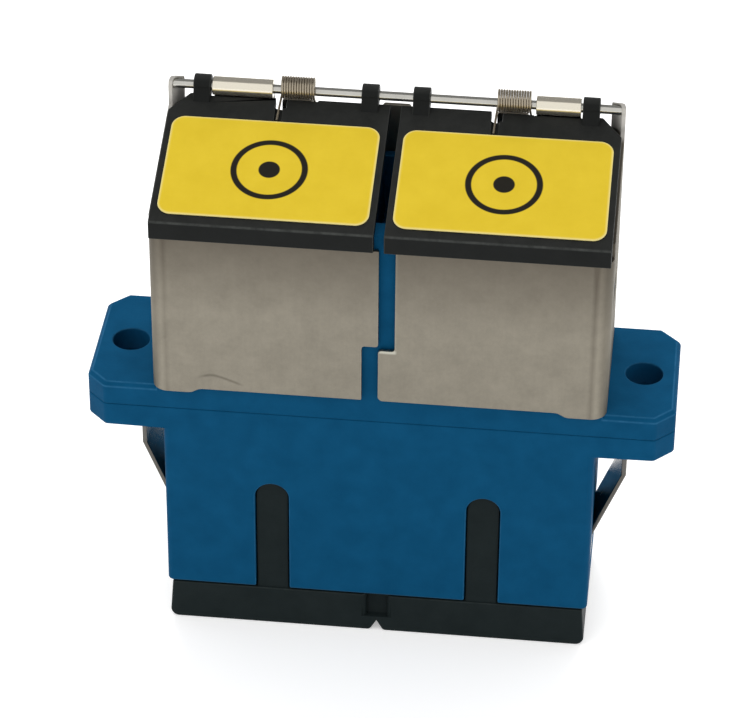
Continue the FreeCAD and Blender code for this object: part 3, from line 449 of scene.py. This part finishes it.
FRAME_ROUND = 0.035
BLEND_WIDTH = 0.15 / PER_METRE
LIP_SHADE_FOOT, LIP_SHADE_TOP, LIP_SHADE = 8.8 / PER_METRE, 13.8 / PER_METRE, 0.84
LIP_SHADE_FRONT, LIP_SHADE_BACK = -5.0 / PER_METRE, 3.5 / PER_METRE
BEND_LINE, BEND_LINE_WIDTH = 12.42 / PER_METRE, 0.24 / PER_METRE
LEFT_BEND_SHADE, RIGHT_BEND_SHADE = 0.24, 0.40
SIDE_BEND, BEND_GLOSS, BEND_SHARE = 12.7 / PER_METRE, 0.68, 0.9
ROLL_FOOT, ROLL_END, ROLL_GLOSS, ROLL_REFLECTION_SHARE = 17.6 / PER_METRE, 11.1 / PER_METRE, 0.19, 0.25
EAR_FOOT, EAR_START = 16.9 / PER_METRE, 12.3 / PER_METRE
PAINTED_BRIGHT_METAL = 0.65
FRONT_FACE = -4.9 / PER_METRE
SEAM_EDGE, SEAM_HIGHLIGHT = 0.96 / PER_METRE, 0.22
SEAM_STEP, STEP_BURR = 6.875 / PER_METRE, 0.2 / PER_METRE
SCRATCH_PLACE, SCRATCH_TOP, SCRATCH_FALL = -9.75 / PER_METRE, 4.52 / PER_METRE, 0.40
SCRATCH_TURN, SCRATCH_LINE, SCRATCH_SHARE = 0.40 / PER_METRE, 0.14 / PER_METRE, 0.80
SCRATCH_START, SCRATCH_END = -10.65 / PER_METRE, -7.80 / PER_METRE
SCRATCH_FADE = 0.5 / PER_METRE
SHADED_STEEL, SCRATCHED_STEEL = (0.11, 0.095, 0.075, 1), (0.10, 0.088, 0.07, 1)
ROLLED_STEEL, EAR_STEEL = (0.80, 0.75, 0.63, 1), (0.60, 0.58, 0.54, 1)
HIGHLIGHT_BURR_STEEL = (0.56, 0.55, 0.46, 1)
TABS = ((-6.75, -4.90, 17.50), (-0.85, 0.85, 17.58), (5.87, 7.71, 17.50))
TAB_FOOT, BACK_INNER, BACK_OUTER = 16.4, 4.77, 5.02
TAB_CORNER, CORNER_STEPS, AT_CORNER = 0.2, 5, 0.01

frame_sheet = skinned("rolled_stainless_sheet", sheet, {
    "Colour": (0.266, 0.243, 0.196, 1), "Dull": (0.224, 0.204, 0.165, 1),
    "Edge": (0.42, 0.39, 0.34, 1), "Roughness": 0.42, "Grain": (5200.0, 5200.0, 320.0),
    "Depth": 0.12}, metallic=1.0)


def away_from(tree, value, middle):
    """How far a value lies from another, on either side."""
    return reckon(tree, "ABSOLUTE", reckon(tree, "SUBTRACT", value, middle))


# The sheet is painted darker along its bends and under the lids' lips, a painted shade, and painted brighter
# on the rolls and ears, a painted highlight; the rolls are glossier too.
tree, shader = workings(frame_sheet)
along = parts_of(tree, add(tree, "ShaderNodeTexCoord").outputs["Object"])
across = reckon(tree, "ABSOLUTE", along["X"])
bent = both(tree, fade(tree, away_from(tree, across, BEND_LINE), 0.0, BEND_LINE_WIDTH),
            stretch(tree, along["X"], -BEND_LINE, BEND_LINE, LEFT_BEND_SHADE, RIGHT_BEND_SHADE))
under_lip = both(tree, stretch(tree, along["Z"], LIP_SHADE_FOOT, LIP_SHADE_TOP, 0.0, LIP_SHADE),
                 fade(tree, along["Y"], LIP_SHADE_FRONT, LIP_SHADE_BACK))
darkened = reckon(tree, "ADD", bent, under_lip)
rolled = both(tree, stretch(tree, along["Z"], ROLL_FOOT, ROLL_FOOT + BLEND_WIDTH),
              fade(tree, across, ROLL_END, ROLL_END + BLEND_WIDTH))
eared = both(tree, stretch(tree, along["Z"], EAR_FOOT, EAR_FOOT + BLEND_WIDTH),
             stretch(tree, across, EAR_START, EAR_START + BLEND_WIDTH))

# The seam's right edge gets a painted highlight, and the step in it keeps the bright burr of the stamping
# tool.
front = fade(tree, along["Y"], FRONT_FACE - BLEND_WIDTH, FRONT_FACE)
at_edge = both(
    tree, stretch(tree, along["X"], SEAM_EDGE - BLEND_WIDTH, SEAM_EDGE - BLEND_WIDTH / 2),
    fade(tree, along["X"], SEAM_EDGE - BLEND_WIDTH / 2, SEAM_EDGE + BLEND_WIDTH))
above_step = stretch(tree, along["Z"], SEAM_STEP, SEAM_STEP + BLEND_WIDTH, 0.0, SEAM_HIGHLIGHT)
on_step = both(tree, stretch(tree, along["X"], 0.0, BLEND_WIDTH),
               fade(tree, along["X"], SEAM_EDGE, SEAM_EDGE + BLEND_WIDTH))
near_step = both(tree, stretch(tree, along["Z"], SEAM_STEP - STEP_BURR, SEAM_STEP - STEP_BURR / 2),
                 fade(tree, along["Z"], SEAM_STEP, SEAM_STEP + BLEND_WIDTH))
highlight_and_burr = reckon(tree, "MAXIMUM", both(tree, at_edge, above_step), both(tree, on_step, near_step))
highlight_and_burr = both(tree, highlight_and_burr, front)

# A dark scratch curves over the foot of the left panel.
aside = add(tree, "ShaderNodeCombineXYZ", {
    "X": reckon(tree, "SUBTRACT", along["X"], SCRATCH_PLACE), "Y": SCRATCH_TURN}).outputs[0]
curved = reckon(tree, "MULTIPLY_ADD", length_of(tree, aside), SCRATCH_FALL, along["Z"])
scratch = both(tree, stretch(tree, along["X"], SCRATCH_START, SCRATCH_START + SCRATCH_FADE),
               fade(tree, along["X"], SCRATCH_END - SCRATCH_FADE, SCRATCH_END))
scratch = both(tree, scratch, fade(tree, away_from(tree, curved, SCRATCH_TOP), 0.0, SCRATCH_LINE,
                                   SCRATCH_SHARE))
scratch = both(tree, scratch, front)

worked = fed_by(shader.inputs["Base Color"])
for share, colour in ((darkened, SHADED_STEEL), (rolled, ROLLED_STEEL), (eared, EAR_STEEL),
                      (highlight_and_burr, HIGHLIGHT_BURR_STEEL), (scratch, SCRATCHED_STEEL)):
    worked = blend_colours(tree, share, worked, colour)
tree.links.new(worked, shader.inputs["Base Color"])
gloss = fed_by(shader.inputs["Roughness"])
dull_bend = stretch(tree, across, SIDE_BEND, SIDE_BEND + 2 * BLEND_WIDTH, 0.0, BEND_SHARE)
for share, value in ((dull_bend, BEND_GLOSS), (rolled, ROLL_GLOSS)):
    gloss = add(tree, "ShaderNodeMix", {0: share, 2: gloss, 3: value}).outputs[0]
tree.links.new(gloss, shader.inputs["Roughness"])
# Where the sheet is painted brighter it is made less metallic so that the paint shows: on the ears and burr,
# and a little on the rolls as a painted reflection of the labels.
painted_bright = reckon(tree, "MAXIMUM", highlight_and_burr, eared)
painted_bright = reckon(tree, "MAXIMUM", painted_bright, both(tree, rolled, ROLL_REFLECTION_SHARE))
tree.links.new(stretch(tree, painted_bright, 0.0, 1.0, 1.0, PAINTED_BRIGHT_METAL), shader.inputs["Metallic"])

stamping = copy_of("shutter_frame", "shutter_frame_stamping")
for start, end, top in TABS:
    tab = block((start, BACK_INNER, TAB_FOOT), (end, BACK_OUTER, top))
    round_edges(tab, TAB_CORNER, segments=CORNER_STEPS, where=lambda middle: (
        middle.z > top - AT_CORNER
        and abs(middle.x - (start + end) / 2) > (end - start) / 2 - AT_CORNER))
    combine(stamping, tab, "UNION")
merge_flats(stamping)
round_edges(stamping, FRAME_ROUND)
put_in_place(stamping, frame_sheet, "shutter_frame", "adapter")

# Hinge pin, one length of bright drawn wire that runs from ear to ear.
# It is held in the frame's rolled tabs, and the lids and springs turn on it.

PIN_ROUND = 0.03

pin_wire = skinned("bright_drawn_wire", sheet, {
    "Colour": (0.58, 0.57, 0.53, 1), "Dull": (0.50, 0.49, 0.45, 1), "Edge": (0.62, 0.60, 0.56, 1),
    "Roughness": 0.17, "Grain": (260.0, 9000.0, 9000.0), "Depth": 0.08}, metallic=0.96)
pin = copy_of("hinge_pin", "hinge_pin_wire")
round_edges(pin, PIN_ROUND)
put_in_place(pin, pin_wire, "hinge_pin", "adapter")

# Shutter lids, moulded in black plastic, each with a lip over the frame's front edge.
# Two knuckles at the back of each turn on the pin, and a groove takes the spring's leg.

LID_ROUND, LIP_ROUND, LIP_STEPS = 0.06, 0.13, 3
LIP_FRONT, LIP_TOP = -5.25, 14.9
HIGHLIGHT_WEAR_FRONT, HIGHLIGHT_WEAR_LOW, HIGHLIGHT_WEAR_HIGH = -5.2, 14.9, 15.02
LID_SLOPE = math.radians(17)
UP_SLOPE = Vector((0, math.cos(LID_SLOPE), math.sin(LID_SLOPE)))
PIN_PLACE = Vector((0, 4.465, 18.3452)) / PER_METRE
COIL_WALL, WALL_MOVE, AT_WALL = -0.564, 0.11, 0.02
TOP_SHEEN, TOP_SHEEN_NOISE, TOP_SHEEN_SPAN = (0.033, 0.034, 0.032, 1), (900.0, 5.0, 0.7), (0.3, 0.7)
TOP_SHEEN_LEAST, TOP_SHEEN_MOST, TOP_SHEEN_FACING = 0.3, 0.62, (0.75, 0.92)

lid_plastic = skinned("moulded_black_plastic", skin, {
    "Colour": (0.0076, 0.0086, 0.0082, 1), "Drift": (0.0102, 0.0112, 0.0106, 1),
    "Edge": (0.058, 0.062, 0.058, 1), "Roughness": 0.44, "Grain": 8000.0, "Depth": 0.25},
    specular=0.10)

# The lids' upward faces are painted paler in patches, a painted sheen.
tree, shader = workings(lid_plastic)
spot = add(tree, "ShaderNodeTexCoord").outputs
upward = stretch(tree, parts_of(tree, spot["Normal"])["Z"], *TOP_SHEEN_FACING)
sheen_patches = stretch(tree, noise(tree, spot["Object"], *TOP_SHEEN_NOISE), *TOP_SHEEN_SPAN, TOP_SHEEN_LEAST, TOP_SHEEN_MOST)
sheened = blend_colours(tree, both(tree, upward, sheen_patches), fed_by(shader.inputs["Base Color"]), TOP_SHEEN)
tree.links.new(sheened, shader.inputs["Base Color"])
for side in SIDES:
    lid = copy_of(f"{side}_lid", f"{side}_lid_moulding")

    # The front wall of the spring's cut-out is brought close to the coil.
    bpy.ops.object.mode_set(mode="EDIT")
    bpy.ops.mesh.select_mode(type="VERT")
    bpy.ops.mesh.select_all(action="DESELECT")
    mesh = bmesh.from_edit_mesh(lid.data)
    for vert in mesh.verts:
        up_lid = (vert.co - PIN_PLACE * PER_METRE).dot(UP_SLOPE)
        vert.select_set(abs(up_lid - COIL_WALL) < AT_WALL)
    bmesh.update_edit_mesh(lid.data)
    bpy.ops.transform.translate(value=UP_SLOPE * WALL_MOVE)
    bpy.ops.object.mode_set(mode="OBJECT")
    round_edges(lid, LIP_ROUND, segments=LIP_STEPS,
                where=lambda middle: middle.y < LIP_FRONT and middle.z > LIP_TOP)
    round_edges(lid, LID_ROUND)

    # The second rounding clears the painted highlight and wear along the lip's edge, so its rows are marked
    # again.
    for vert, mark in zip(lid.data.vertices, lid.data.attributes["edge_highlight_wear"].data):
        if vert.co.y < HIGHLIGHT_WEAR_FRONT and HIGHLIGHT_WEAR_LOW < vert.co.z < HIGHLIGHT_WEAR_HIGH:
            mark.value = 1.0
    put_in_place(lid, lid_plastic, f"{side}_lid", f"{side}_shutter")

# Labels, die-cut from yellow printed film with rounded corners and stuck flat on the lids.
# A plain ring and dot, the end of a fibre, is printed in black in the middle of each.

LABEL_ROUND = 0.045
MARK_ACROSS, MARK_ALONG = 6.75 / PER_METRE, -5.965 / PER_METRE
RING_RADIUS, RING_LINE, DOT_RADIUS = 2.05 / PER_METRE, 0.36 / PER_METRE, 0.62 / PER_METRE
INK, INK_EDGE = (0.014, 0.012, 0.008, 1), 0.03 / PER_METRE
LABEL_CORNER, LABEL_RIM = 0.8 / PER_METRE, 0.16 / PER_METRE
LABEL_FLAT = (5.27 / PER_METRE, 2.9 / PER_METRE, 1.0)
FILM_RIM_HIGHLIGHT, RIM_SHARE = (0.88, 0.78, 0.36, 1), 0.6

film = skinned("yellow_label_film", skin, {
    "Colour": (0.69, 0.493, 0.016, 1), "Drift": (0.73, 0.53, 0.022, 1),
    "Edge": (0.86, 0.77, 0.40, 1), "Roughness": 0.36, "Grain": 5000.0, "Depth": 0.06},
    specular=0.25)
tree, shader = workings(film)
on_lid = add(tree, "ShaderNodeMapping", {
    "Vector": add(tree, "ShaderNodeTexCoord").outputs["Object"], "Location": PIN_PLACE,
    "Rotation": (LID_SLOPE, 0, 0)}, vector_type="TEXTURE")
along = parts_of(tree, on_lid.outputs["Vector"])
across = reckon(tree, "ABSOLUTE", along["X"])
from_mark = add(tree, "ShaderNodeCombineXYZ", {
    "X": reckon(tree, "SUBTRACT", across, MARK_ACROSS),
    "Y": reckon(tree, "SUBTRACT", along["Y"], MARK_ALONG)}).outputs[0]
reach = length_of(tree, from_mark)
ring = fade(tree, away_from(tree, reach, RING_RADIUS),
            RING_LINE / 2 - INK_EDGE, RING_LINE / 2 + INK_EDGE)
dot = fade(tree, reach, DOT_RADIUS - INK_EDGE, DOT_RADIUS + INK_EDGE)
inked = blend_colours(tree, reckon(tree, "MAXIMUM", ring, dot),
                      fed_by(shader.inputs["Base Color"]), INK)


def reckon_vector(tree, operation, *values):
    """The vector that one sum gives from others."""
    made = add(tree, "ShaderNodeVectorMath", dict(enumerate(values)), operation=operation)
    return made.outputs[0]


# The film is painted paler along its border, a painted edge highlight.
beside = reckon_vector(tree, "ABSOLUTE", from_mark)
beside = reckon_vector(tree, "SUBTRACT", beside, LABEL_FLAT)
beside = reckon_vector(tree, "MAXIMUM", beside, (0, 0, 0))
rim = stretch(tree, length_of(tree, beside), LABEL_CORNER - LABEL_RIM, LABEL_CORNER, 0.0, RIM_SHARE)
tree.links.new(blend_colours(tree, rim, inked, FILM_RIM_HIGHLIGHT), shader.inputs["Base Color"])
for side in SIDES:
    label = copy_of(f"{side}_label", f"{side}_label_film")
    round_edges(label, LABEL_ROUND)
    put_in_place(label, film, f"{side}_label", f"{side}_shutter")

# Springs, wound from bronze-grey steel wire in a close coil round the pin, one for each lid.
# One leg lies in the lid's groove and the other bears on the frame's back plate,
# so that the lid shuts itself.

COIL_RADIUS, COIL_PITCH, COIL_TURNS, COIL_LIFT = 0.60, 0.152, 13, 0.175
COIL_STARTS = (("left", -6.8), ("right", 5.815))
FIRST_ANGLE, LAST_ANGLE = 287.0, 218.0 + 360 * COIL_TURNS
LID_LEG, FRAME_LEG = 2.1, 1.8
WIRE_RADIUS, WIRE_SIDES, TURN_STEPS = 0.07, 12, 32

spring_wire = skinned("drawn_spring_wire", sheet, {
    "Colour": (0.43, 0.375, 0.29, 1), "Dull": (0.37, 0.32, 0.245, 1), "Edge": (0.46, 0.40, 0.31, 1),
    "Roughness": 0.26, "Grain": (3000.0, 3000.0, 3000.0), "Depth": 0.08}, metallic=0.85)


def heading(angle):
    """Which way the wire runs at an angle of the coil."""
    turned = math.radians(angle)
    climb = COIL_PITCH / (2 * math.pi * COIL_RADIUS)
    return Vector((climb, -math.sin(turned), math.cos(turned))).normalized()


for side, start in COIL_STARTS:
    bpy.ops.object.select_all(action="DESELECT")
    bpy.ops.mesh.primitive_circle_add(vertices=WIRE_SIDES, radius=WIRE_RADIUS)
    coil = bpy.context.active_object
    coil.name = f"{side}_spring_coil"
    turned = math.radians(FIRST_ANGLE)
    outward = Vector((0, math.cos(turned), math.sin(turned)))
    ahead = heading(FIRST_ANGLE)
    square = Matrix((outward, ahead.cross(outward), ahead)).transposed().to_4x4()
    coil.matrix_world = Matrix.Translation(outward * COIL_RADIUS) @ square
    bpy.ops.object.transform_apply()
    wind = coil.modifiers.new("wind", "SCREW")
    wind.axis, wind.angle = "X", math.radians(LAST_ANGLE - FIRST_ANGLE)
    wind.screw_offset = COIL_PITCH * (LAST_ANGLE - FIRST_ANGLE) / 360
    wind.steps = wind.render_steps = round(TURN_STEPS * (LAST_ANGLE - FIRST_ANGLE) / 360)
    bpy.ops.object.modifier_apply(modifier="wind")

    # Each open end of the wire is drawn out into a leg and closed.
    bpy.ops.object.mode_set(mode="EDIT")
    bpy.ops.mesh.select_mode(type="EDGE")
    for angle, leg in ((FIRST_ANGLE, -LID_LEG), (LAST_ANGLE, FRAME_LEG)):
        bpy.ops.mesh.select_all(action="DESELECT")
        mesh = bmesh.from_edit_mesh(coil.data)
        middle = max(v.co.x for v in mesh.verts) / 2
        for edge in mesh.edges:
            edge.select_set(edge.is_boundary and (edge.verts[0].co.x < middle) == (leg < 0))
        bmesh.update_edit_mesh(coil.data)
        bpy.ops.mesh.extrude_region_move(TRANSFORM_OT_translate={"value": heading(angle) * leg})
        bpy.ops.mesh.edge_face_add()
    bpy.ops.mesh.select_all(action="SELECT")
    bpy.ops.mesh.normals_make_consistent(inside=False)
    bpy.ops.object.mode_set(mode="OBJECT")
    coil.location = PIN_PLACE * PER_METRE + Vector((start + WIRE_RADIUS, 0, COIL_LIFT))
    bpy.ops.object.transform_apply()
    put_in_place(coil, spring_wire, f"{side}_spring", None)
    first = PIN_PLACE + Vector((start + 2 * WIRE_RADIUS, 0, 0)) / PER_METRE
    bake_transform(coil, f"{side}_shutter", "adapter", start=first,
             end=first + Vector(((COIL_TURNS - 1) * COIL_PITCH / PER_METRE, 0, 0)))

# Dust cap, one black moulding whose two hollow plugs push into the lower ports.
# The two heads are joined by a web with a slot in each face and a nick below,
# so that the cap can be split in two.

CAP_ROUND = 0.1

cap_plastic = skinned("dust_cap_plastic", skin, {
    "Colour": (0.0110, 0.0164, 0.0171, 1), "Drift": (0.0142, 0.0205, 0.0213, 1),
    "Edge": (0.028, 0.036, 0.036, 1), "Roughness": 0.40, "Grain": 6000.0, "Depth": 0.25},
    specular=0.04)
cap = copy_of("dust_cap", "dust_cap_moulding")
round_edges(cap, CAP_ROUND)
put_in_place(cap, cap_plastic, "dust_cap", "cap")

# Studio: a plain pale floor under the dust cap, an even pale sky, and three soft lamps. A grey card
# hangs out of view above and behind, so that the metal's upper faces mirror something darker.
# The camera stands where the photograph was taken from, a little to the right and looking down.

FLOOR_SIZE, FLOOR_DROP = 3, 0.00001
FLOOR_GREY, FLOOR_MATT, FLOOR_SEEN = 0.90, 0.9, 0.36
CARD_FOOT, CARD_TOP, CARD_WIDER = Vector((0, 0.60, 0.02)), Vector((0, -0.07, 0.60)), 3.0
CARD_GREY, CARD_GLOW = 0.02, 0.25
SKY_LIGHT, SKY_SEEN = 0.88, 1.0
LAMPS = (("overhead_lamp", (-0.10, -0.12, 0.34), 0.16, 0.12),
         ("rear_lamp", (-0.01, 0.34, 0.21), 0.30, 0.95),
         ("front_lamp", (0.0, -0.50, 0.12), 0.30, 0.06))
YAW, PITCH, ROLL = math.radians(5.91), math.radians(35.428), math.radians(0.435)
AIM_SIDE, AIM_HEIGHT, DISTANCE = -0.973, 2.768, 218.42
FOCAL_PIXELS, IMAGE_WIDTH, FILM_WIDTH = 3665.97, 740, 36.0
NEAREST_SEEN = 0.01


def studio_paint(piece, name, grey):
    """Give a piece a plain grey paint without shine that can glow white."""
    paint = bpy.data.materials.new(name)
    piece.data.materials.append(paint)
    tree, shader = workings(paint)
    shader.inputs["Base Color"].default_value = (grey, grey, grey, 1)
    shader.inputs["Specular IOR Level"].default_value = 0.0
    shader.inputs["Emission Color"].default_value = WHITE
    return tree, shader


def when_seen(tree, unseen, seen):
    """One strength for the light that falls on things, and another where it is seen or mirrored."""
    ray = add(tree, "ShaderNodeLightPath").outputs
    mirrored = reckon(tree, "MAXIMUM", ray["Is Glossy Ray"], ray["Is Transmission Ray"])
    either = reckon(tree, "MAXIMUM", ray["Is Camera Ray"], mirrored)
    return stretch(tree, either, 0.0, 1.0, unseen, seen)


bpy.ops.object.select_all(action="DESELECT")
bpy.ops.mesh.primitive_plane_add(size=FLOOR_SIZE, location=(0, 0, cad_box[0].z - FLOOR_DROP))
floor = bpy.context.active_object
floor.name = "studio_floor"
tree, shader = studio_paint(floor, "pale_floor", FLOOR_GREY)
shader.inputs["Roughness"].default_value = FLOOR_MATT
tree.links.new(when_seen(tree, 0.0, FLOOR_SEEN), shader.inputs["Emission Strength"])

lean = math.atan2(CARD_TOP.z - CARD_FOOT.z, CARD_TOP.y - CARD_FOOT.y)
bpy.ops.object.select_all(action="DESELECT")
bpy.ops.mesh.primitive_plane_add(size=(CARD_TOP - CARD_FOOT).length,
                                 location=(CARD_FOOT + CARD_TOP) / 2, rotation=(lean, 0, 0))
card = bpy.context.active_object
card.name = "grey_card"
card.scale.x = CARD_WIDER
card.visible_camera = card.visible_diffuse = False
card.visible_shadow = card.visible_transmission = False
tree, shader = studio_paint(card, "grey_card_paint", CARD_GREY)
shader.inputs["Emission Strength"].default_value = CARD_GLOW

world = bpy.data.worlds.new("pale_studio")
world.use_nodes = True
tree = world.node_tree
sky = tree.nodes["Background"]
sky.inputs["Color"].default_value = WHITE
tree.links.new(when_seen(tree, SKY_LIGHT, SKY_SEEN), sky.inputs["Strength"])
bpy.context.scene.world = world

# The lamps are square, face the middle of the flange and don't show in the metal.
for name, stand, size, power in LAMPS:
    bpy.ops.object.light_add(type="AREA", location=stand)
    lamp = bpy.context.active_object
    lamp.name = name
    lamp.rotation_mode = "QUATERNION"
    lamp.rotation_quaternion = (-Vector(stand)).to_track_quat("-Z", "Y")
    lamp.data.size, lamp.data.energy = size, power
    lamp.visible_glossy = False

right = Vector((math.cos(YAW), math.sin(YAW), 0))
back = Vector((math.sin(YAW) * math.cos(PITCH), -math.cos(YAW) * math.cos(PITCH), math.sin(PITCH)))
up = back.cross(right)
tilted_right = right * math.cos(ROLL) + up * math.sin(ROLL)
tilted_up = up * math.cos(ROLL) - right * math.sin(ROLL)
bpy.ops.object.camera_add()
camera = bpy.context.active_object
camera.name = "photo_camera"
stand = (right * AIM_SIDE + Vector((0, 0, AIM_HEIGHT)) + back * DISTANCE) / PER_METRE
turn = Matrix((tilted_right, tilted_up, back)).transposed().to_4x4()
camera.matrix_world = Matrix.Translation(stand) @ turn
camera.data.sensor_width = FILM_WIDTH
camera.data.lens = FOCAL_PIXELS * FILM_WIDTH / IMAGE_WIDTH
camera.data.clip_start = NEAREST_SEEN
bpy.context.scene.camera = camera
bpy.context.scene.view_settings.view_transform = "Standard"
